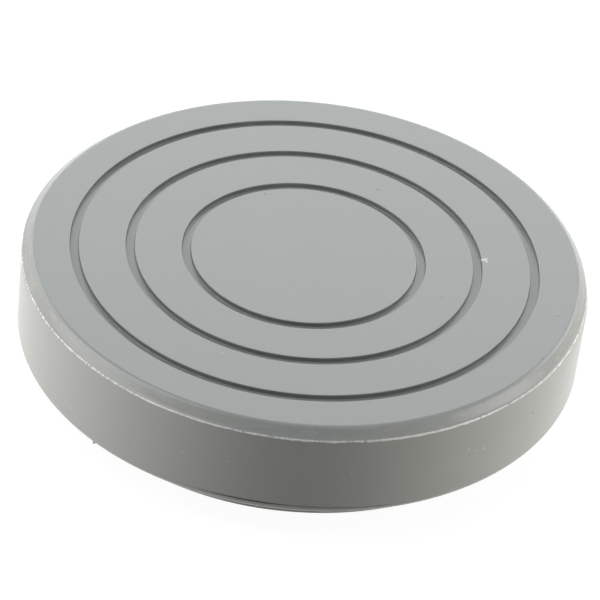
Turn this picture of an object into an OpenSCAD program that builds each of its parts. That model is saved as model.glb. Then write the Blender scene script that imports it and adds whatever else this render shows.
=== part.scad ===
// Round rubber foot: one moulded disc with a grooved tread face.
// It is drawn with the tread face up and stands on the plinth that seats it in the equipment's base.
// One profile, turned about Z, gives the whole foot. The grooves are cut from it as three rings.
// Millimetres. The origin is the centre of the plinth's flat face, and +Z points at the tread face.

/* [Body] */
// Diameter of the body at its parting line, where it is widest
body_d = 40; // [38:0.5:60]
// Height of the body, from its lower edge to the tread face
body_h = 7.1; // [3:0.1:12]
// Draft of the side wall in degrees, narrowing it towards the lower edge
wall_draft = 0.5; // [0:0.1:3]
// Radius of the body's lower edge
lower_edge_r = 0.65; // [0.1:0.05:1]

/* [Chamfer] */
// Width of the chamfer round the tread face, seen from above
chamfer_w = 0.75; // [0.4:0.05:1.5]
// Height of the chamfer
chamfer_h = 0.65; // [0.3:0.05:1.2]
// Radius that blends the tread face into the chamfer
chamfer_blend_r = 0.4; // [0.1:0.05:1.5]

/* [Flash] */
// How far the trimmed flash stands out at the parting line
flash_out = 0.06; // [0.02:0.01:0.2]
// Thickness of the flash
flash_t = 0.1; // [0.04:0.01:0.2]

/* [Grooves] */
// Number of grooves in the tread face
groove_count = 3; // [1:1:3]
// Radius of the first groove, at the middle of its width
groove_first_r = 8.25; // [4.5:0.25:9.5]
// Spacing between one groove and the next
groove_pitch = 4; // [2:0.5:4.5]
// Width of a groove at the tread face
groove_w = 0.65; // [0.5:0.05:1.2]
// Depth of a groove
groove_depth = 0.35; // [0.25:0.05:1]
// Radius along both sides of a groove's floor
groove_floor_r = 0.1; // [0.05:0.01:0.2]
// Lean of each groove wall in degrees, so that the mould comes out
groove_draft = 4; // [0:1:10]

/* [Plinth] */
// Width of the shoulder left round the plinth, at the parting line's radius
shoulder_w = 2.25; // [1.5:0.25:8]
// Height of the plinth under the body
plinth_h = 1.75; // [0.8:0.05:4]
// Radius of the plinth's lower edge
plinth_edge_r = 0.3; // [0.1:0.05:0.6]
// Radius in the corner between the plinth and the shoulder
plinth_root_r = 0.2; // [0.1:0.05:0.5]

/* [Hidden] */

// Straight pieces that stand for each rounded edge
arc_steps = 6;
// Facets of a full turn, for the drawn mesh
turn_facets = 120;
// How far a cutter reaches past the face that it cuts
cut_over = 1;
rubber_grey = [0.66, 0.69, 0.68];

body_r = body_d / 2;
total_h = plinth_h + body_h;
parting_z = total_h - chamfer_h;
face_r = body_r - chamfer_w;
plinth_r = body_r - shoulder_w;
// The draft takes this much off the radius at a height below the parting line
function draft_at(z) = (parting_z - z) * tan(wall_draft);
lower_r = body_r - draft_at(plinth_h);

// Slope of the chamfer, and the length of face and chamfer that its blend takes up
chamfer_angle = atan2(chamfer_h, chamfer_w);
blend_reach = chamfer_blend_r * tan(chamfer_angle / 2);

// Points of an arc about the centre c, from angle a0 to angle a1
function arc(c, r, a0, a1) =
    [for (i = [0 : arc_steps])
        let (a = a0 + (a1 - a0) * i / arc_steps)
        c + r * [cos(a), sin(a)]];

// Profile of the plinth: flat foot, rounded lower edge, wall, rounded root under the shoulder
function plinth_profile() = concat(
    [[0, 0]],
    arc([plinth_r - plinth_edge_r, plinth_edge_r], plinth_edge_r, -90, 0),
    arc([plinth_r + plinth_root_r, plinth_h - plinth_root_r], plinth_root_r, 180, 90));

// Profile of the side: rounded lower edge, drafted wall, flash with a square trimmed edge
function side_profile() = concat(
    arc([lower_r - lower_edge_r, plinth_h + lower_edge_r], lower_edge_r, -90, -wall_draft),
    [[body_r, parting_z - flash_t / 2],
     [body_r + flash_out, parting_z - flash_t / 4],
     [body_r + flash_out, parting_z + flash_t / 4]]);

// Profile of the tread side: chamfer, its blend, and the flat face in to the axis
function tread_profile() = concat(
    [[body_r - flash_t / 2 / tan(chamfer_angle), parting_z + flash_t / 2]],
    arc([face_r - blend_reach, total_h - chamfer_blend_r], chamfer_blend_r,
        90 - chamfer_angle, 90),
    [[0, total_h]]);

// The foot before the grooves are cut
module blank() {
    rotate_extrude($fn = turn_facets)
        polygon(concat(plinth_profile(), side_profile(), tread_profile()));
}

// Section of one groove: its middle is at x = 0 and the tread face at y = 0.
// Both walls lean out on their way up, and run on past the face to make a clean cut.
module groove_section() {
    rim_x = groove_w / 2;
    wall_run = cut_over * tan(groove_draft);
    floor_in = groove_floor_r / cos(groove_draft)
        + (groove_depth - groove_floor_r) * tan(groove_draft);
    arc_y = groove_floor_r - groove_depth;
    polygon(concat(
        [[-rim_x - wall_run, cut_over]],
        arc([floor_in - rim_x, arc_y], groove_floor_r, 180 + groove_draft, 270),
        arc([rim_x - floor_in, arc_y], groove_floor_r, 270, 360 - groove_draft),
        [[rim_x + wall_run, cut_over]]));
}

// Ring that cuts one groove, with the radius r at the middle of its width
module groove(r) {
    translate([0, 0, total_h])
        rotate_extrude($fn = turn_facets)
            translate([r, 0])
                groove_section();
}

module foot() {
    color(rubber_grey)
        difference() {
            blank();
            for (i = [0 : groove_count - 1])
                groove(groove_first_r + i * groove_pitch);
        }
}

foot();
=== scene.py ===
# %% [markdown]
# # A round rubber foot
# The foot is one disc of grey rubber, pressed in a two-part mould. Its tread face carries three
# rings cut by the mould, a chamfer runs round the rim, and a thin line of flash marks where the
# mould halves met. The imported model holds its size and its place, and this lesson gives it the
# surface of the real thing: one numpy mesh with the flash left ragged, a rubber finish made of
# shader nodes, and plain studio light.

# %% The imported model
import math

import bmesh
import bpy
import numpy as np
from mathutils import Matrix, Vector


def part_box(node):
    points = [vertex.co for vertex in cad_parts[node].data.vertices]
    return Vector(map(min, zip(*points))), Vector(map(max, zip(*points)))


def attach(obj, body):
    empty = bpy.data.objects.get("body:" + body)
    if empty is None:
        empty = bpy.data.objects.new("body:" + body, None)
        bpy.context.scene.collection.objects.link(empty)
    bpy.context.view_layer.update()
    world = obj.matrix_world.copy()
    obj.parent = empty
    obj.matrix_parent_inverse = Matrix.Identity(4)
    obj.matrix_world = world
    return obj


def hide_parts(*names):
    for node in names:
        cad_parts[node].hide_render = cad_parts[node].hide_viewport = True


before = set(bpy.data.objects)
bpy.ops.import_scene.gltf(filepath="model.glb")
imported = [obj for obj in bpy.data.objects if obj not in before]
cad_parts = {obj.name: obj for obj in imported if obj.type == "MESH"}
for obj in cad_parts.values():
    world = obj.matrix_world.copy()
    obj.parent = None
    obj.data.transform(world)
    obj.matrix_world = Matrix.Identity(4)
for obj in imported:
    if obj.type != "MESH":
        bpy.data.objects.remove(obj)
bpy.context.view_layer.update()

MM = 0.001
low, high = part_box("foot")
print("foot from", [round(v / MM, 2) for v in low], "to", [round(v / MM, 2) for v in high], "mm")

# %% [markdown]
# ## Camera
# The foot is seen from a little above, through a long lens that keeps its ellipses nearly equal
# front and back. A look-at constraint would do, but a matrix made of three directions also takes
# the small roll, and it needs nothing else in the scene.

# %% Camera
LENS = 234.8
ELEVATION = math.radians(36.66)
ROLL = math.radians(6.44)
DISTANCE = 0.27035
CLIP_START = 0.01
AIM = Vector((-0.183 * MM, -5.470 * MM, high.z + 0.024 * MM))

away = Vector((0, -math.cos(ELEVATION), math.sin(ELEVATION)))
level = Vector((1, 0, 0))
upright = away.cross(level)
right = level * math.cos(ROLL) + upright * math.sin(ROLL)
up = upright * math.cos(ROLL) - level * math.sin(ROLL)

lens = bpy.data.cameras.new("camera")
lens.lens = LENS
lens.clip_start = CLIP_START
camera = bpy.data.objects.new("camera", lens)
bpy.context.scene.collection.objects.link(camera)
turn = Matrix((right, up, away)).transposed().to_4x4()
camera.matrix_world = Matrix.Translation(AIM + away * DISTANCE) @ turn
bpy.context.scene.camera = camera
print("camera at", [round(v / MM, 1) for v in camera.location], "mm")

# %% [markdown]
# ## The section
# A moulded disc is a section carried round an axis. Blender's Spin or Screw would turn a drawn
# outline, but here the section is worked out as points, so that each stretch can later be made
# rough, shifted or finer on its own. It starts at the middle of the underside, runs out and up
# the wall, and comes back in over the tread face to the axis.

# %% Sizes of the section
FLASH_OUT = 0.06 * MM
TREAD_SINK = 0.02 * MM
body_r = high.x - FLASH_OUT
tread_z = high.z - TREAD_SINK

PLINTH_H = 1.75 * MM
SHOULDER_W = 2.25 * MM
PLINTH_EDGE_R = 0.18 * MM
PLINTH_ROOT_R = 0.2 * MM
LOWER_EDGE_R = 0.65 * MM
WALL_DRAFT = math.radians(0.5)
CHAMFER_W = 0.75 * MM
CHAMFER_H = 0.65 * MM
CHAMFER_BLEND_R = 0.5 * MM

parting_z = tread_z - CHAMFER_H
plinth_r = body_r - SHOULDER_W
lower_r = body_r - (parting_z - PLINTH_H) * math.tan(WALL_DRAFT)
print("parting line at z", round(parting_z / MM, 2), "mm, plinth radius", round(plinth_r / MM, 2), "mm")

# %% Lines and arcs


def line(start, end, steps):
    """Points at even steps from start to end, with the end left for the next stretch."""
    t = np.linspace(0, 1, steps, endpoint=False)[:, None]
    return np.array(start) * (1 - t) + np.array(end) * t


def arc(centre, radius, first, last, steps):
    """Points centre + radius * (cos a, sin a), with a in even steps from first to last, in degrees."""
    a = np.radians(np.linspace(first, last, steps + 1))[:, None]
    return np.array(centre) + radius * np.hstack([np.cos(a), np.sin(a)])


# %% [markdown]
# ## Underside, plinth and wall
# Below the body stands a low plinth, a good two millimetres smaller all round, that seats in the
# equipment. The body's lower edge is rounded, and the wall leans out by half a degree on its way
# up, so that the foot leaves the mould. The rounded edge stops short of upright and the wall starts
# a little above it, which leaves room between them for the rows of a crease.

# %% Lower stretches
CENTRE_GAP = 1.0 * MM
EDGE_STOP = 18
WALL_GAP = 0.3 * MM
FLASH_BAND = 0.16 * MM

underside = np.vstack([
    line((CENTRE_GAP, 0), (plinth_r - PLINTH_EDGE_R, 0), 7),
    arc((plinth_r - PLINTH_EDGE_R, PLINTH_EDGE_R), PLINTH_EDGE_R, -90, 0, 6),
    arc((plinth_r + PLINTH_ROOT_R, PLINTH_H - PLINTH_ROOT_R), PLINTH_ROOT_R, 180, 90, 5),
])
edge_centre = (lower_r - LOWER_EDGE_R, PLINTH_H + LOWER_EDGE_R)
lower_edge = arc(edge_centre, LOWER_EDGE_R, -90, -EDGE_STOP, 12)
wall_start = (lower_r + WALL_GAP * math.tan(WALL_DRAFT), edge_centre[1] + WALL_GAP)
wall = line(wall_start, (body_r, parting_z - FLASH_BAND), 10)
print("wall from z", round(edge_centre[1] / MM, 2), "to", round(parting_z / MM, 2), "mm")

# %% [markdown]
# ## Crease
# Where the rounded edge meets the wall, a fine crease runs round part of the front, as a joint
# between two pieces of the mould leaves. It is narrow, so it gets seven close rows of its own.

# %% Crease stretch
CREASE_W = 0.17 * MM
CREASE_UP = 0.03 * MM
CREASE_ROWS = 7


def side_radius(z):
    """Radius of the side at height z.

    Below the rounded edge's centre it is x + sqrt(R ** 2 - down ** 2) of that circle, and above it
    the drafted wall's.
    """
    down = np.minimum(z - edge_centre[1], 0)
    edge = edge_centre[0] + np.sqrt(np.maximum(LOWER_EDGE_R ** 2 - down ** 2, 0))
    return np.where(z < edge_centre[1], edge, lower_r + (z - edge_centre[1]) * math.tan(WALL_DRAFT))


crease_place = np.linspace(-1, 1, CREASE_ROWS)
crease_z = edge_centre[1] + CREASE_UP + crease_place * CREASE_W / 2
crease = np.stack([side_radius(crease_z), crease_z], -1)
crease_share = np.cos(crease_place * math.pi / 2) ** 2

# %% [markdown]
# ## Flash
# Where the mould halves close, rubber creeps out into a film a tenth of a millimetre thick, and
# trimming leaves a ragged stub of it. A displaced edge loop would need a very fine mesh all
# over, so this stretch is a small ledge of its own, and only its rows are cut fine. Its flat
# top faces up, which is why it shows as a pale line even on the shaded side. Each row has a
# height over the parting line in flash thicknesses, a share of the stub, and a share of the torn
# look. The last row is the foot of the chamfer.

# %% Flash stretch
FLASH_T = 0.12 * MM
FLASH_ROWS = np.array([
    (-0.90, 0.00, 0.00),
    (-0.50, 0.15, 0.10),
    (-0.38, 0.85, 0.70),
    (-0.20, 1.00, 1.00),
    (0.08, 1.00, 1.00),
    (0.20, 0.90, 1.00),
    (0.30, 0.10, 0.75),
    (0.50, 0.00, 0.00),
])

chamfer_slope = math.atan2(CHAMFER_H, CHAMFER_W)
chamfer_foot = (body_r - FLASH_T / 2 / math.tan(chamfer_slope), parting_z + FLASH_T / 2)
flash_z, flash_share, torn_share = FLASH_ROWS.T
flash = np.stack([np.full(len(flash_z), body_r), parting_z + FLASH_T * flash_z], -1)
flash[-1] = chamfer_foot

# %% [markdown]
# ## Tread face
# The chamfer rolls softly into the face. Each groove has walls that lean out a little, a floor
# with rounded corners, and rims that are just broken by the mould's own small radius. The rims
# matter: they are what catches the light along each ring. Smooth shading averages the faces that
# meet at a row, which would bend the light on the wide flat faces beside a small radius, so a
# close row on each flat keeps the bend out of it.

# %% Chamfer stretch
FLAT_GAP = 0.02 * MM
face_r = body_r - CHAMFER_W
blend_reach = CHAMFER_BLEND_R * math.tan(chamfer_slope / 2)
blend_start = (face_r + blend_reach * math.cos(chamfer_slope),
               tread_z - blend_reach * math.sin(chamfer_slope))
blend_centre = (face_r - blend_reach, tread_z - CHAMFER_BLEND_R)
chamfer = np.vstack([
    line(chamfer_foot, blend_start, 4)[1:],
    arc(blend_centre, CHAMFER_BLEND_R, 90 - math.degrees(chamfer_slope), 90, 9),
    [(face_r - blend_reach - FLAT_GAP, tread_z)],
])

# %% Groove section
GROOVE_R = 8.27 * MM
GROOVE_PITCH = 3.98 * MM
GROOVE_W = 0.66 * MM
GROOVE_DEPTH = 0.35 * MM
GROOVE_FLOOR_R = 0.06 * MM
GROOVE_RIM_R = 0.04 * MM
GROOVE_DRAFT = math.radians(4)


def groove(middle):
    """Section of one ring, from its outer rim to its inner rim.

    One side is a rim arc, a leaning wall and a floor arc, and the other side is its mirror image.
    """
    lean = math.degrees(GROOVE_DRAFT)
    half = GROOVE_W / 2
    floor_half = half - GROOVE_DEPTH * math.tan(GROOVE_DRAFT)
    rim, corner = GROOVE_RIM_R, GROOVE_FLOOR_R
    rim_arc = arc((half + rim, -rim), rim, 90, 180 - lean, 5)
    corner_arc = arc((floor_half - corner, corner - GROOVE_DEPTH), corner, -lean, -90, 5)
    down = corner_arc[0] - rim_arc[-1]
    down = down / np.hypot(*down) * FLAT_GAP
    side = np.vstack([
        [(half + rim + FLAT_GAP, 0)], rim_arc, [rim_arc[-1] + down],
        [corner_arc[0] - down], corner_arc, [(floor_half - corner - FLAT_GAP, -GROOVE_DEPTH)],
    ])
    other = side[::-1] * (-1, 1)
    return np.vstack([side, other]) + (middle, tread_z)


# %% Tread stretch
grooves = [groove(GROOVE_R + GROOVE_PITCH * k) for k in (2, 1, 0)]
tread = [line(chamfer[-1], grooves[0][0], 5)[1:]]
for ring, following in zip(grooves, grooves[1:] + [None]):
    tread.append(ring)
    inner = (CENTRE_GAP, tread_z) if following is None else following[0]
    tread.append(line(ring[-1], inner, 6)[1:])
tread.append(np.array([(CENTRE_GAP, tread_z)]))
tread = np.vstack(tread)
print("section rows", [len(s) for s in (underside, lower_edge, wall, flash, chamfer, tread)])

# %% [markdown]
# ## Unevenness round a ring
# Moulded rubber is never quite even. A sum of cosines with random phases gives a wavy line that
# closes on itself after a full turn, and how fast their strength falls sets the size of the
# waves. Noise textures could do it too, but this works on any number of angles alike. Single
# swells, with a place and a width of their own, are bell curves added on top.

# %% Wavy lines and swells
MOST_WAVES = 700
dice = np.random.default_rng(31)


def waviness(angles, length):
    """Sum over k of a_k * cos(k * angle + phase_k), scaled to a spread of 1.

    The strengths a_k fade as a bell curve in k * length / R, so that length sets the waves' size.
    """
    top = int(min(MOST_WAVES, 3 * body_r / length))
    k = np.arange(1, top + 1)
    strength = np.exp(-0.5 * (k * length / body_r) ** 2)
    phase = dice.uniform(0, 2 * np.pi, top)
    wave = np.cos(np.outer(angles, k) + phase) @ strength
    return wave / np.sqrt(0.5 * np.sum(strength ** 2))


def near(angles, centre, width):
    """A bell curve round an angle in degrees: exp(-(difference / width) ** 2)."""
    gap = np.degrees(np.angle(np.exp(1j * (angles - math.radians(centre)))))
    return np.exp(-(gap / width) ** 2)


def swells(angles, table):
    """Sum of height * near(angles, centre, width) over the rows of a table."""
    return sum(height * near(angles, centre, width) for height, centre, width in table)


# %% [markdown]
# ## Angles of a turn
# A mesh could be cut evenly all round, but one small nub of rubber needs closer steps than the
# rest. The steps follow a density that rises round the nub, so three counts of steps serve for
# everything: a coarse one, twice as many, and twice as many again.

# %% Angles
COARSE, MIDDLE, FINE = 380, 760, 1520
NUB_AT = -131
CROWDING = [(2, NUB_AT, 4)]
DENSITY_STEPS = 7201


def turn_angles(count):
    """Angles of a full turn, closer round the nub: the running sum of a density, read backwards."""
    a = np.linspace(-np.pi, np.pi, DENSITY_STEPS)
    density = 1 + swells(a, CROWDING)
    run = np.concatenate([[0], np.cumsum((density[1:] + density[:-1]) / 2)])
    return np.interp(np.arange(count) * run[-1] / count, run, a)


coarse_a, middle_a, fine_a = (turn_angles(count) for count in (COARSE, MIDDLE, FINE))

# %% [markdown]
# ## Carrying the section round
# Every stretch becomes a grid: section points one way, angles the other. The two mould halves
# were not quite in line, so the wall and the plinth lie a little to one side, and the rings lie
# further that way towards the middle. At one end the rim was trimmed deeper than elsewhere.
# Each of these is a small sideways or radial change, added to the plain turned form.

# %% Shifts
BODY_SHIFT = -0.08 * MM
BODY_FADE = 0.4
RING_SHIFT = -0.27 * MM
RING_FADE_R = 1.03 * body_r
MIDDLE_RING_BACK = 0.06 * MM
MIDDLE_RING_REACH = 0.4 * GROOVE_PITCH


def sideways(r, z):
    """Shift of a row in x.

    On the tread it fades as 1 - (r / R) ** 4 and over the chamfer, and below the parting line it
    fades on the way up.
    """
    rings = RING_SHIFT * (1 - (r / RING_FADE_R) ** 4) * np.clip((body_r - r) / CHAMFER_W, 0, 1)
    up_the_wall = np.clip((z - PLINTH_H) / (parting_z - PLINTH_H), 0, 1)
    below_flash = np.clip((parting_z - FLASH_T / 2 - z) / FLASH_BAND, 0, 1)
    return np.where(z > parting_z, rings, BODY_SHIFT * (1 - BODY_FADE * up_the_wall) * below_flash)


def backwards(r, z):
    """Shift in y of the middle ring alone: a bell curve in r, on the tread."""
    bell = np.exp(-((r - GROOVE_R - GROOVE_PITCH) / MIDDLE_RING_REACH) ** 2)
    return MIDDLE_RING_BACK * bell * (z > parting_z)


# %% Turning a stretch
RIM_PULL = [(0.25 * MM, 8, 38)]
RIM_FADE = 0.5 * MM


def turned(section, a, out=0.0, lift=0.0):
    """Grid of x = shift + r cos a, y = shift + r sin a, z + lift.

    Here r is the section's own, with out added and, at the rim, the deeper trimming taken off.
    """
    r, z = section[:, :1], section[:, 1:]
    rim = np.where(z > parting_z, (r - face_r) / CHAMFER_W, 1 - (parting_z - z) / RIM_FADE)
    radius = r - swells(a, RIM_PULL) * np.clip(rim, 0, 1) + out
    x = sideways(r, z) + radius * np.cos(a)
    y = backwards(r, z) + radius * np.sin(a)
    return np.stack([x, y, z + lift + 0 * a], axis=-1)


# %% [markdown]
# ## A ragged flash
# The stub keeps most of its height, with a ragged edge, and it nearly vanishes at the deeper
# trimmed end. Along the back it is gone, and there the chamfer's slope runs on to a plain corner.
# It also sags and rises a little along the way. Heights in the tables are shares of the full
# stub, or millimetres for the sag, and places and widths are degrees.

# %% Flash edge
STUB_MEAN, STUB_LEAST, STUB_MOST = 0.78, 0.3, 0.97
STUB_RAGGED, STUB_RAGGED_SIZE = 0.24, 0.045 * MM
STUB_WAVY, STUB_WAVY_SIZE = 0.07, 1.5 * MM
STUB_SWELLS = [(0.12, -76, 24), (-0.25, -152, 18)]
STUB_TRIMMED = [(0.75, 8, 24)]
STUB_AT_BACK = 0.04
SAG_MEAN = -0.02 * MM
SAG_RAGGED, SAG_RAGGED_SIZE = 0.02 * MM, 0.15 * MM
SAG_WAVY, SAG_WAVY_SIZE = 0.008 * MM, 2 * MM
SAG_SWELLS = [(-0.05, -66, 16), (-0.05, -155, 20), (0.03, -33, 9), (0.03, -102, 7)]
BACK_FROM, BACK_SOFTNESS = 0.05, 0.1

stub = STUB_MEAN + STUB_RAGGED * waviness(fine_a, STUB_RAGGED_SIZE)
stub = stub + STUB_WAVY * waviness(fine_a, STUB_WAVY_SIZE) + swells(fine_a, STUB_SWELLS)
stub = np.clip(stub, STUB_LEAST, STUB_MOST) * (1 - swells(fine_a, STUB_TRIMMED))
sag = SAG_RAGGED * waviness(fine_a, SAG_RAGGED_SIZE) + SAG_WAVY * waviness(fine_a, SAG_WAVY_SIZE)
sag = sag + SAG_MEAN + swells(fine_a, SAG_SWELLS) * MM

at_back = 0.5 + 0.5 * np.tanh((np.sin(fine_a) - BACK_FROM) / BACK_SOFTNESS)
stub = stub * (1 - at_back) + STUB_AT_BACK * at_back
on_slope = body_r - np.maximum(flash[:, 1:] - parting_z, 0) / math.tan(chamfer_slope)
flash_out = FLASH_OUT * stub * flash_share[:, None] - (flash[:, :1] - on_slope) * at_back
flash_lift = sag * (1 - at_back) * flash_share[:, None]
print("flash stands out", round(flash_out.min() / MM, 3), "to", round(flash_out.max() / MM, 3), "mm")

# %% [markdown]
# ## Crease, nub and bulge
# The crease is deepest at the front and dies out both ways, and away from its middle it slants
# down. One small nub of rubber sticks out of the lower edge, half way round its curve. The
# plinth bulges a very little under the front.

# %% Crease
CREASE_DEPTH = 0.16 * MM
CREASE_SWELLS = [(1, -94, 11), (0.5, -76, 10)]
CREASE_EVEN, CREASE_WAVY, CREASE_WAVY_SIZE = 0.9, 0.15, 0.6 * MM
CREASE_LEAST, CREASE_MOST = 0.5, 1.2
CREASE_SLANT = 0.1 * MM
CREASE_LEVEL = [(1, -93, 18)]

crease_run = np.minimum(swells(middle_a, CREASE_SWELLS), 1)
crease_wave = CREASE_EVEN + CREASE_WAVY * waviness(middle_a, CREASE_WAVY_SIZE)
crease_run = crease_run * np.clip(crease_wave, CREASE_LEAST, CREASE_MOST)
crease_drop = -CREASE_SLANT * (1 - swells(middle_a, CREASE_LEVEL))
# The crease's share of depth also goes to the material, which paints the crease dark as painted shade in its
# gap.
crease_depth_and_shade = crease_share[:, None] * crease_run
crease_in = side_radius(crease[:, 1:] + crease_drop) - crease[:, :1] - CREASE_DEPTH * crease_depth_and_shade

# %% Nub and bulge
NUB_H, NUB_W = 0.15 * MM, 0.1 * MM
NUB_DOWN = math.radians(45)
BULGE = [(0.02 * MM, -99, 8)]

edge_turn = np.radians(np.linspace(90, EDGE_STOP, len(lower_edge)))[:, None]
nub = NUB_H * near(middle_a, NUB_AT, math.degrees(NUB_W / body_r))
nub = nub * np.exp(-((edge_turn - NUB_DOWN) * LOWER_EDGE_R / NUB_W) ** 2)

on_plinth_side = (underside[:, :1] > plinth_r - PLINTH_EDGE_R) & (underside[:, 1:] < PLINTH_H - PLINTH_ROOT_R)
bulge = swells(coarse_a, BULGE) * on_plinth_side
print("nub", round(nub.max() / MM, 2), "mm, bulge", round(bulge.max() / MM, 3), "mm")

# %% [markdown]
# ## All stretches
# The grids are listed in the order in which they follow each other round the section. Two of
# them carry a mark for the material: how torn the flash is, and how deep the crease is, which the material
# paints dark as painted shade.

# %% Grids and marks
TORN_FADES = [(0.55, -158, 24), (0.12, -118, 14)]

upper_wall = np.array([(body_r, parting_z - FLASH_BAND)])
grids = {
    "underside": turned(underside, coarse_a, bulge),
    "lower edge": turned(lower_edge, middle_a, nub * np.cos(edge_turn), -nub * np.sin(edge_turn)),
    "crease": turned(crease, middle_a, crease_in, crease_drop),
    "wall": turned(wall, coarse_a),
    "upper wall": turned(upper_wall, middle_a),
    "flash": turned(flash, fine_a, flash_out, flash_lift),
    "chamfer foot": turned(chamfer[:1], middle_a),
    "chamfer": turned(chamfer[1:], middle_a),
    "tread": turned(tread, coarse_a),
}
torn_run = stub * (1 - at_back) * (1 - swells(fine_a, TORN_FADES))
marks = {"torn": {"flash": torn_share[:, None] * torn_run}, "crease_depth_and_shade": {"crease": crease_depth_and_shade}}
print("grids", {name: grid.shape[:2] for name, grid in grids.items()})

# %% [markdown]
# ## Stitching
# A fine grid meets a coarse one where each coarse edge faces two fine ones. Three triangles
# close every such gap, so that the foot stays one watertight skin.

# %% Faces of a grid and of a seam


def quads(start, rows, count):
    """Corner numbers of the cells of a closed grid, wound so that they face outwards."""
    i, j = np.meshgrid(np.arange(rows - 1), np.arange(count), indexing="ij")
    following = (j + 1) % count
    below = start + i * count
    above = below + count
    return np.stack([below + j, below + following, above + following, above + j], -1).reshape(-1, 4)


def stitch(below, above, count_below, count_above):
    """Faces between two rings: quads for equal counts, three triangles a step for twice as many."""
    n = min(count_below, count_above)
    j = np.arange(n)
    following = (j + 1) % n
    if count_below == count_above:
        level_faces = np.stack([below + j, below + following, above + following, above + j], -1)
        return level_faces, np.zeros((0, 3), int)
    if count_above > count_below:
        a0, a1 = below + j, below + following
        b0, b1, b2 = above + 2 * j, above + 2 * j + 1, above + (2 * j + 2) % count_above
        corners = ((a0, b1, b0), (a0, a1, b1), (a1, b2, b1))
    else:
        b0, b1 = above + j, above + following
        a0, a1, a2 = below + 2 * j, below + 2 * j + 1, below + (2 * j + 2) % count_below
        corners = ((b0, a0, a1), (b0, a1, b1), (b1, a1, a2))
    return np.zeros((0, 4), int), np.concatenate([np.stack(three, -1) for three in corners])


# %% One skin from the grids


def skin(name, grids, low_pole, high_pole):
    """One closed mesh of stacked ring grids, with a fan to a pole at each end."""
    counts = [g.shape[1] for g in grids]
    rows = [g.shape[0] for g in grids]
    starts = np.concatenate([[0], np.cumsum([r * c for r, c in zip(rows, counts)])])
    four, three = [], []
    for k, (start, r, c) in enumerate(zip(starts, rows, counts)):
        four.append(quads(start, r, c))
        if k + 1 < len(grids):
            q, t = stitch(start + (r - 1) * c, starts[k + 1], c, counts[k + 1])
            four.append(q)
            three.append(t)
    pole = starts[-1]
    j = np.arange(counts[0])
    three.append(np.stack([np.full(counts[0], pole), (j + 1) % counts[0], j], -1))
    j = np.arange(counts[-1])
    edge = pole - counts[-1]
    three.append(np.stack([edge + j, edge + (j + 1) % counts[-1], np.full(counts[-1], pole + 1)], -1))
    points = np.vstack([g.reshape(-1, 3) for g in grids] + [[low_pole], [high_pole]])
    mesh = bpy.data.meshes.new(name)
    mesh.from_pydata(points.tolist(), [], np.vstack(four).tolist() + np.vstack(three).tolist())
    mesh.validate()
    return mesh


# %% The foot's mesh
SHARP_FROM = math.radians(32)

mesh = skin("foot_rubber", list(grids.values()), (BODY_SHIFT, 0, 0), (RING_SHIFT, 0, tread_z))
mesh.shade_smooth()
mesh.set_sharp_from_angle(angle=SHARP_FROM)
for name, marked in marks.items():
    attribute = mesh.attributes.new(name, "FLOAT", "POINT")
    parts = [marked.get(key, np.zeros(grid.shape[:2])).ravel() for key, grid in grids.items()]
    attribute.data.foreach_set("value", np.concatenate(parts + [[0, 0]]).astype(np.float32))
foot = bpy.data.objects.new("foot_rubber", mesh)
bpy.context.scene.collection.objects.link(foot)
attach(foot, "root")
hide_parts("foot")
mesh.calc_loop_triangles()
print("foot_rubber triangles", len(mesh.loop_triangles))

# %% [markdown]
# ## Writing materials as sums
# Shader nodes are easier to read as arithmetic. A wire is an output socket, and adding or
# multiplying wires places the Math nodes. Every other node comes from one function.

# %% Wires and nodes


class Wire:
    """An output socket that can be added, multiplied and subtracted."""

    def __init__(self, tree, socket):
        self.tree = tree
        self.socket = socket

    def _math(self, operation, first, second):
        return node(self.tree, "ShaderNodeMath", {"operation": operation}, {0: first, 1: second})

    def __add__(self, other):
        return self._math("ADD", self, other)

    __radd__ = __add__

    def __mul__(self, other):
        return self._math("MULTIPLY", self, other)

    __rmul__ = __mul__

    def __sub__(self, other):
        return self._math("SUBTRACT", self, other)

    def __rsub__(self, other):
        return self._math("SUBTRACT", other, self)


def node(tree, kind, settings=None, inputs=None, out=0):
    """A node with its settings made first, then its sockets given values or wires. Returns one output."""
    made = tree.nodes.new(kind)
    for name, value in (settings or {}).items():
        setattr(made, name, value)
    for name, value in (inputs or {}).items():
        if isinstance(value, Wire):
            tree.links.new(value.socket, made.inputs[name])
        else:
            made.inputs[name].default_value = value
    return Wire(tree, made.outputs[out]) if made.outputs else None


# %% Short names for common nodes


def material(name):
    """An empty node material and its tree."""
    made = bpy.data.materials.new(name)
    made.use_nodes = True
    made.node_tree.nodes.clear()
    return made, made.node_tree


def vector(operation, *inputs, out="Vector"):
    """A Vector Math node on wires and triples, of which the first is a wire."""
    tree = inputs[0].tree
    return node(tree, "ShaderNodeVectorMath", {"operation": operation}, dict(enumerate(inputs)), out)


def ramp(value, start, end):
    """0 where value is at start, 1 at end, and smooth between."""
    return node(value.tree, "ShaderNodeMapRange", {"interpolation_type": "SMOOTHSTEP"},
                {"Value": value, "From Min": start, "From Max": end})


def blend(share, first, second):
    """The first colour where share is 0, the second where it is 1."""
    return node(share.tree, "ShaderNodeMix", {"data_type": "RGBA"}, {0: share, 6: first, 7: second}, out=2)


def noise(place, size, detail=3.0):
    """Noise between 0 and 1 with features of about the given size."""
    return node(place.tree, "ShaderNodeTexNoise", None,
                {"Vector": place, "Scale": 1 / size, "Detail": detail, "Roughness": 0.55})


def bump(height):
    """The normal of a surface raised by height, in metres."""
    return node(height.tree, "ShaderNodeBump", None, {"Strength": 1.0, "Distance": 1.0, "Height": height})


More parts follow.
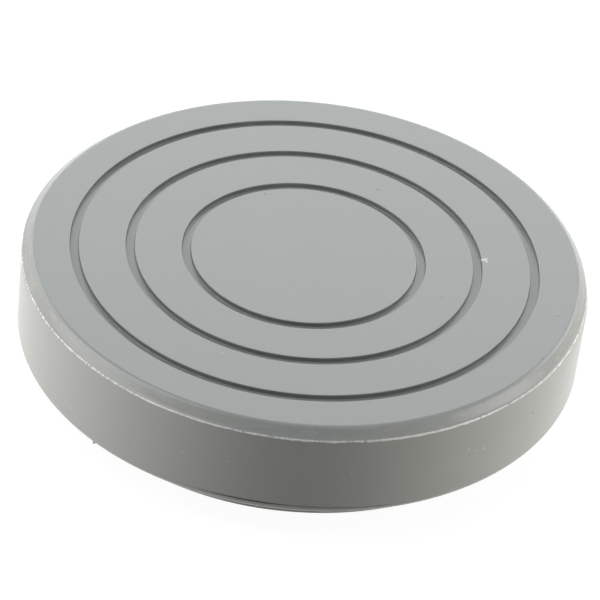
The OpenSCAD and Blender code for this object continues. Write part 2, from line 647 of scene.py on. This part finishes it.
# %% [markdown]
# ## Marks and dust
# A handled foot carries specks: pale ones where dust stuck or the skin was rubbed, and a few dark
# ones. A speck is a small ball of places near a centre, and the distance to the nearest of
# several centres gives them all one mask. Moving the places by a fine noise frays the balls'
# edges. The finest dust is left to chance, as the points of a Voronoi pattern of which only a few
# are kept.

# %% Masks for specks


def specks(place, centres, radius):
    """1 within a quarter of the radius of the nearest centre, falling to 0 at the radius."""
    gaps = [vector("DISTANCE", place, tuple(c * MM for c in centre), out="Value") for centre in centres]
    nearest = gaps[0]
    for gap in gaps[1:]:
        nearest = node(place.tree, "ShaderNodeMath", {"operation": "MINIMUM"}, {0: nearest, 1: gap})
    return ramp(nearest, radius, radius / 4)


def frayed(place, size, reach):
    """Place + reach * (noise - 0.5), with a noise of the given size in each direction."""
    tint = node(place.tree, "ShaderNodeTexNoise", None, {"Vector": place, "Scale": 1 / size}, out="Color")
    return vector("SUBTRACT", vector("MULTIPLY_ADD", tint, (reach,) * 3, place), (reach / 2,) * 3)


def dust(place, spacing, radius, kept):
    """Random specks: points of a Voronoi pattern, of which the share kept shows."""
    pattern = {"Vector": place, "Scale": 1 / spacing}
    gap = node(place.tree, "ShaderNodeTexVoronoi", None, pattern, out="Distance")
    tint = node(place.tree, "ShaderNodeTexVoronoi", None, pattern, out="Color")
    chance = node(place.tree, "ShaderNodeSeparateColor", None, {0: tint})
    shown = node(place.tree, "ShaderNodeMath", {"operation": "LESS_THAN"}, {0: chance, 1: kept})
    return ramp(gap, radius / spacing, 0.4 * radius / spacing) * shown


# %% Places of the marks
MARK_R = 19.9
parting = parting_z / MM


def on_wall(azimuth, below):
    """Centre in mm of a mark on the wall, from its azimuth in degrees and its depth below the parting."""
    a = math.radians(azimuth)
    return (MARK_R * math.cos(a), MARK_R * math.sin(a), parting - below)


def on_tread(x, y):
    """Centre in mm of a mark on the tread face."""
    return (x, y, tread_z / MM)


PALE_TREAD = [(-10.7, -1.2), (-10.1, -0.5), (17.3, -4.8), (17.9, -1.1), (-5.0, -12.4),
              (7.7, -12.4), (9.6, -3.1), (17.7, -3.8), (10.0, -0.3)]
PALE_WALL = [(-48, 3.1), (-77, 2.7), (-52, 2.6), (-50, 3.0), (-115, 2.0), (-99, 1.0), (-138, 4.7),
             (-120.5, 4.2), (-109.9, 3.1), (-109.4, 1.1), (-101, 2.8)]
DARK_TREAD = [(-3.5, 6.8), (4.5, 8.9), (16.7, -9.0)]
DARK_WALL = [(-34, 2.4), (-158, 4.4), (-53.5, 2.6)]
pale_marks = [on_tread(*c) for c in PALE_TREAD] + [on_wall(*c) for c in PALE_WALL]
dark_marks = [on_tread(*c) for c in DARK_TREAD] + [on_wall(*c) for c in DARK_WALL]

# Each scuff is a short row of small specks, one on the wall and one on the chamfer.
wall_scuff = [on_wall(-100.5 + 0.4 * k, 0.8 + 0.07 * k) for k in range(6)]
chamfer_scuff = [(1.56 + 0.07 * k, -19.26 - 0.05 * k, parting + 0.5 - 0.04 * k) for k in range(6)]
print("marks", len(pale_marks), "pale,", len(dark_marks), "dark and two scuffs")

# %% [markdown]
# ## Rubber
# The finish is a smooth mould's: satin, with a faint blue-green cast, a little cloudiness a few
# millimetres across and a fine grain. Where the flash was torn off, the rubber is pale and dull, and its
# colour is pushed near white as painted light, standing in for light through the thin film.
# The chamfer is faintly streaked along its run. The walls of the rings are painted darker than the face, as
# painted shade in the grooves, and the crease is painted dark, as painted shade in its gap. An image texture
# could hold all of this, but masks that read the place on the object fit any resolution and hold from every
# side.

# %% Masks of the rubber
CLOUD_SIZE, GRAIN_SIZE = 4 * MM, 0.12 * MM
TORN_FROM, TORN_FULL = 0.1, 0.6
TORN_EVEN, TORN_PATCHY, TORN_PATCH_SIZE = 0.5, 0.8, 0.22 * MM
FRAY_SIZE, FRAY_REACH = 0.15 * MM, 0.3 * MM
PALE_R, SCUFF_R, DARK_R = 0.17 * MM, 0.12 * MM, 0.09 * MM
SCUFF_SHARE = 0.6
DUST_SPACING, DUST_R, DUST_KEPT = 1.3 * MM, 0.05 * MM, 0.12

rubber, tree = material("grey_rubber")
place = node(tree, "ShaderNodeTexCoord", out="Object")
cloud = noise(place, CLOUD_SIZE)
grain = noise(place, GRAIN_SIZE, 2.0)
ragged = node(tree, "ShaderNodeAttribute", {"attribute_name": "torn"}, out="Fac")
torn_patches = TORN_EVEN + TORN_PATCHY * noise(place, TORN_PATCH_SIZE, 1.0)
torn = ramp(ragged, TORN_FROM, TORN_FULL) * torn_patches
# This mark drives the crease's painted shade, a dark colour in its gap.
crease_painted_shade = node(tree, "ShaderNodeAttribute", {"attribute_name": "crease_depth_and_shade"}, out="Fac")
loose = frayed(place, FRAY_SIZE, FRAY_REACH)
scuffs = specks(loose, wall_scuff + chamfer_scuff, SCUFF_R)
pale = specks(loose, pale_marks, PALE_R) + SCUFF_SHARE * scuffs
pale = pale + dust(place, DUST_SPACING, DUST_R, DUST_KEPT)
dark = specks(loose, dark_marks, DARK_R)

# %% Masks of the rim and the rings
RIM_FROM, RIM_FULL = face_r - 1.2 * MM, face_r - 0.8 * MM
CUT_FROM, CUT_FULL = tread_z - 0.02 * MM, tread_z - 0.08 * MM
FLOOR_FROM, FLOOR_FULL = tread_z - 0.31 * MM, tread_z - 0.345 * MM
CHAMFER_FOOT_BLEND = 0.08 * MM
STREAK_SIZE, STREAK_THIN = 1.8 * MM, 7
STREAK_FROM, STREAK_FULL = 0.42, 0.68
RING_EVEN, RING_PATCHY, RING_PATCH_SIZE = 0.25, 0.5, 0.8 * MM

height_up = node(tree, "ShaderNodeSeparateXYZ", None, {0: place}, out="Z")
from_axis = vector("LENGTH", vector("MULTIPLY", place, (1, 1, 0)), out="Value")
at_rim = ramp(from_axis, RIM_FROM, RIM_FULL)
cut_in = ramp(height_up, CUT_FROM, CUT_FULL)
on_chamfer = at_rim * cut_in * ramp(height_up, parting_z, parting_z + CHAMFER_FOOT_BLEND)
streaks = noise(vector("MULTIPLY", place, (1, 1, STREAK_THIN)), STREAK_SIZE, 4.0)
rubbed = on_chamfer * ramp(streaks, STREAK_FROM, STREAK_FULL)
ring_floor = ramp(height_up, FLOOR_FROM, FLOOR_FULL)
ring_patches = RING_EVEN + RING_PATCHY * noise(place, RING_PATCH_SIZE)
# This mask marks the walls of the rings, which get painted shade, patchy and left off the floors.
ring_wall_shade = (1 - at_rim) * cut_in * (1 - ring_floor) * ring_patches

# %% Rubber material
RUBBER = (0.376, 0.402, 0.392, 1)
RUBBER_CLOUD = (0.383, 0.407, 0.396, 1)
# The torn flash's colour is partly pale torn rubber and partly painted light: near white for light coming
# through the thin film.
TORN_PALE_AND_GLOW = (0.93, 0.97, 0.97, 1)
PALE = (0.66, 0.66, 0.64, 1)
# The dark colour serves both the real dark specks and the crease's painted shade.
DARK_SPECK_AND_SHADE = (0.05, 0.05, 0.05, 1)
# The next colour is painted shade for the walls of the rings, not the rubber's own colour.
RING_PAINTED_SHADE = (0.17, 0.18, 0.175, 1)
CLOUD_FROM, CLOUD_FULL = 0.35, 0.65
STREAK_TINT, SPECK_TINT, DARK_TINT, CREASE_SHADE_TINT = 0.05, 0.3, 0.8, 0.9
RUBBER_GLOSS = 0.22
CLOUD_DULL, TORN_DULL, SPECK_DULL, STREAK_DULL = 0.06, 0.4, 0.2, 0.08
GRAIN_HEIGHT, SPECK_HEIGHT = 0.0012 * MM, 0.01 * MM

colour = blend(ramp(cloud, CLOUD_FROM, CLOUD_FULL), RUBBER, RUBBER_CLOUD)
# Of these coats, the ring walls and the crease get painted shade. The torn flash's pale colour is partly
# painted light.
for share, paint in ((STREAK_TINT * rubbed, PALE), (ring_wall_shade, RING_PAINTED_SHADE), (SPECK_TINT * pale, PALE),
                     (DARK_TINT * dark, DARK_SPECK_AND_SHADE), (CREASE_SHADE_TINT * crease_painted_shade, DARK_SPECK_AND_SHADE), (torn, TORN_PALE_AND_GLOW)):
    colour = blend(share, colour, paint)
roughness = RUBBER_GLOSS + CLOUD_DULL * (cloud - 0.5) + TORN_DULL * torn
roughness = roughness + SPECK_DULL * pale + STREAK_DULL * rubbed
relief = bump(GRAIN_HEIGHT * grain + SPECK_HEIGHT * pale)
surface = node(tree, "ShaderNodeBsdfPrincipled", None,
               {"Base Color": colour, "Roughness": roughness, "Normal": relief, "IOR": 1.5})
node(tree, "ShaderNodeOutputMaterial", None, {"Surface": surface})
mesh.materials.append(rubber)
print("grey_rubber nodes", len(tree.nodes))

# %% [markdown]
# ## A scrap of lint
# A bit of white fibre, half a millimetre long and forked, lies by the middle ring. Each of its
# three arms is a flat tapering tube carried along a short curved path, closed at both ends. A
# hair curve would be quicker to draw, but it would have no width of its own in the export.

# %% Lint
LINT_AT = (12.2 * MM, 1.68 * MM)
LINT_THICK = 0.036 * MM
LINT_BEND = 0.03 * MM
LINT_TAPER = 0.35
LINT_SIDES, LINT_STEPS = 10, 12
LINT_ARMS = [
    ((0, 0), (0.36, 0), 0.17),
    ((0.12, 0), (0.43, 0.24), 0.14),
    ((0.12, 0), (0.5, -0.18), 0.15),
]


def lint_arm(start, end, width):
    """Rings round a bent path from start to end, which are in mm from LINT_AT.

    A point is path(t) + width * e(t) * cos(v) * across + thickness / 2 * e(t) * sin(v) * up, where e
    is 0 at both ends.
    """
    t = np.linspace(0, 1, LINT_STEPS)[:, None]
    v = (np.arange(LINT_SIDES) * 2 * np.pi / LINT_SIDES)[None, :]
    along = (np.array(end) - start) * MM
    across = np.array((-along[1], along[0])) / np.hypot(*along)
    round_end = np.sqrt(np.clip(1 - (2 * t - 1) ** 6, 0, 1)) * (1 - LINT_TAPER * t)
    side = width * MM * round_end * np.cos(v) + LINT_BEND * np.sin(np.pi * t)
    flat = np.array(start) * MM + LINT_AT
    x = flat[0] + along[0] * t + across[0] * side
    y = flat[1] + along[1] * t + across[1] * side
    z = high.z - LINT_THICK / 2 + LINT_THICK / 2 * round_end * np.sin(v)
    return np.stack([x, y, z], -1)


# %% Lint mesh
MERGE_WITHIN = 0.0005 * MM

arms = [lint_arm(*arm).reshape(-1, 3) for arm in LINT_ARMS]
lint_faces = np.vstack([quads(k * LINT_STEPS * LINT_SIDES, LINT_STEPS, LINT_SIDES) for k in range(len(arms))])
lint_mesh = bpy.data.meshes.new("lint")
lint_mesh.from_pydata(np.vstack(arms).tolist(), [], lint_faces.tolist())
shape = bmesh.new()
shape.from_mesh(lint_mesh)
bmesh.ops.remove_doubles(shape, verts=shape.verts, dist=MERGE_WITHIN)
bmesh.ops.recalc_face_normals(shape, faces=shape.faces)
shape.to_mesh(lint_mesh)
shape.free()
lint_mesh.shade_smooth()
lint = bpy.data.objects.new("lint", lint_mesh)
bpy.context.scene.collection.objects.link(lint)
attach(lint, "root")
print("lint top", round(max(v.co.z for v in lint_mesh.vertices) / MM, 3), "mm")

# %% Lint material
FIBRE_SHADE = (0.86, 0.88, 0.83, 1)
FIBRE_WHITE = (0.97, 0.99, 0.95, 1)
FIBRE_GLOSS, STRAND_DULL = 0.7, 0.2
STRAND_SIZE, STRAND_HEIGHT = 0.03 * MM, 0.004 * MM

fibre, tree = material("white_fibre")
strands = noise(node(tree, "ShaderNodeTexCoord", out="Object"), STRAND_SIZE)
surface = node(tree, "ShaderNodeBsdfPrincipled", None,
               {"Base Color": blend(strands, FIBRE_SHADE, FIBRE_WHITE),
                "Roughness": FIBRE_GLOSS + STRAND_DULL * strands,
                "Normal": bump(STRAND_HEIGHT * strands)})
node(tree, "ShaderNodeOutputMaterial", None, {"Surface": surface})
lint_mesh.materials.append(fibre)

# %% [markdown]
# ## Floor
# A product stands on a white sheet under soft boxes. The sheet is white to the camera and in
# reflections, while the light that it throws back on the foot stays plain, so that the grey
# renders as it is written. It lies a hair below the foot's flat face, because two faces at one
# height would flicker.

# %% Floor
FLOOR_HALF = 1.5
FLOOR_Z = -0.02 * MM

floor_mesh = bpy.data.meshes.new("floor")
corners = [(x * FLOOR_HALF, y * FLOOR_HALF, FLOOR_Z) for x, y in ((-1, -1), (1, -1), (1, 1), (-1, 1))]
floor_mesh.from_pydata(corners, [], [(0, 1, 2, 3)])
floor = bpy.data.objects.new("floor", floor_mesh)
bpy.context.scene.collection.objects.link(floor)

# %% Floor material
BOUNCE = 0.3
BOUNCE_COLOUR = (1.08 * BOUNCE, BOUNCE, 0.98 * BOUNCE, 1)
SHADOW_COLOUR = (0.16, 0.16, 0.16, 1)
SHEET_GLOW = 0.94
WHITE = (1, 1, 1, 1)


def seen(tree):
    """1 for rays that show a surface directly, in a gloss or through glass, 0 for the light it throws."""
    camera_ray, glossy_ray, glass_ray = [
        node(tree, "ShaderNodeLightPath", out=ray)
        for ray in ("Is Camera Ray", "Is Glossy Ray", "Is Transmission Ray")]
    return camera_ray + glossy_ray + glass_ray


sheet, tree = material("white_sheet")
thrown = node(tree, "ShaderNodeBsdfDiffuse", None, {"Color": BOUNCE_COLOUR})
lit = node(tree, "ShaderNodeBsdfDiffuse", None, {"Color": SHADOW_COLOUR})
glow = node(tree, "ShaderNodeEmission", None, {"Color": WHITE, "Strength": SHEET_GLOW})
shown = node(tree, "ShaderNodeAddShader", None, {0: lit, 1: glow})
either = node(tree, "ShaderNodeMixShader", None, {0: seen(tree), 1: thrown, 2: shown})
node(tree, "ShaderNodeOutputMaterial", None, {"Surface": either})
floor_mesh.materials.append(sheet)

# %% [markdown]
# ## World
# The world could be plain white, but then it would also be the strongest lamp. Like the sheet, it
# is white only where it is seen, and the light that it gives is next to nothing.

# %% World
AMBIENT = 0.005

world = bpy.data.worlds.new("studio")
world.use_nodes = True
bpy.context.scene.world = world
tree = world.node_tree
tree.nodes.clear()
strength = AMBIENT + (1 - AMBIENT) * seen(tree)
sky = node(tree, "ShaderNodeBackground", None, {"Color": WHITE, "Strength": strength})
node(tree, "ShaderNodeOutputWorld", None, {"Surface": sky})
bpy.context.scene.view_settings.view_transform = "Standard"

# %% [markdown]
# ## Lamps
# Two kinds of light fall on the foot. Low strips graze the sheet and light the upright wall, and
# they hardly reach into a groove. A half ring of small boxes at a third of the way up lights the
# tread, and leaves the groove walls that face the viewer dark. One big box would be simpler, but
# its mirror image would end in a dark line along the chamfer's blend. The strip behind the foot
# is kept out of reflections, where it would draw a hard white band along that blend.

# %% Lamp helper
LAMP_DISTANCE = 0.32


def softbox(name, azimuth, elevation, width, height, watts, colour):
    """An oblong soft box that faces the foot from LAMP_DISTANCE away.

    Azimuth (0 is +X, 90 is +Y) and elevation are in degrees, width and height in metres.
    """
    a, e = math.radians(azimuth), math.radians(elevation)
    outward = Vector((math.cos(a) * math.cos(e), math.sin(a) * math.cos(e), math.sin(e)))
    lamp = bpy.data.lights.new(name, "AREA")
    lamp.shape = "RECTANGLE"
    lamp.size = width
    lamp.size_y = height
    lamp.energy = watts
    lamp.color = colour
    made = bpy.data.objects.new(name, lamp)
    place = Matrix.Translation(outward * LAMP_DISTANCE + Vector((0, 0, high.z / 2)))
    made.matrix_world = place @ outward.to_track_quat("Z", "Y").to_matrix().to_4x4()
    bpy.context.scene.collection.objects.link(made)
    return made


# %% Lamps
WARM, WARMER, COOL = (1, 0.915, 0.87), (1, 0.905, 0.81), (0.965, 0.985, 1)
BOX_ELEVATION, BOX_HEIGHT = 32, 0.15
BOXES = [("right", 0, 0.15, 0.21), ("right_back", 45, 0.15, 0.207), ("back", 90, 0.18, 0.162),
         ("left_back", 135, 0.15, 0.111), ("left", 180, 0.15, 0.142)]

softbox("left_strip", 184, 3, 0.4, 0.035, 1.08, WARM)
softbox("right_strip", 0, 2.5, 0.16, 0.028, 0.79, WARMER)
back_strip = softbox("back_strip", 90, 5, 0.3, 0.06, 0.6, COOL)
back_strip.visible_glossy = False
for name, azimuth, width, watts in BOXES:
    softbox(name, azimuth, BOX_ELEVATION, width, BOX_HEIGHT, watts, COOL)
softbox("upper_left", 180, 58, 0.18, 0.18, 0.23, COOL)
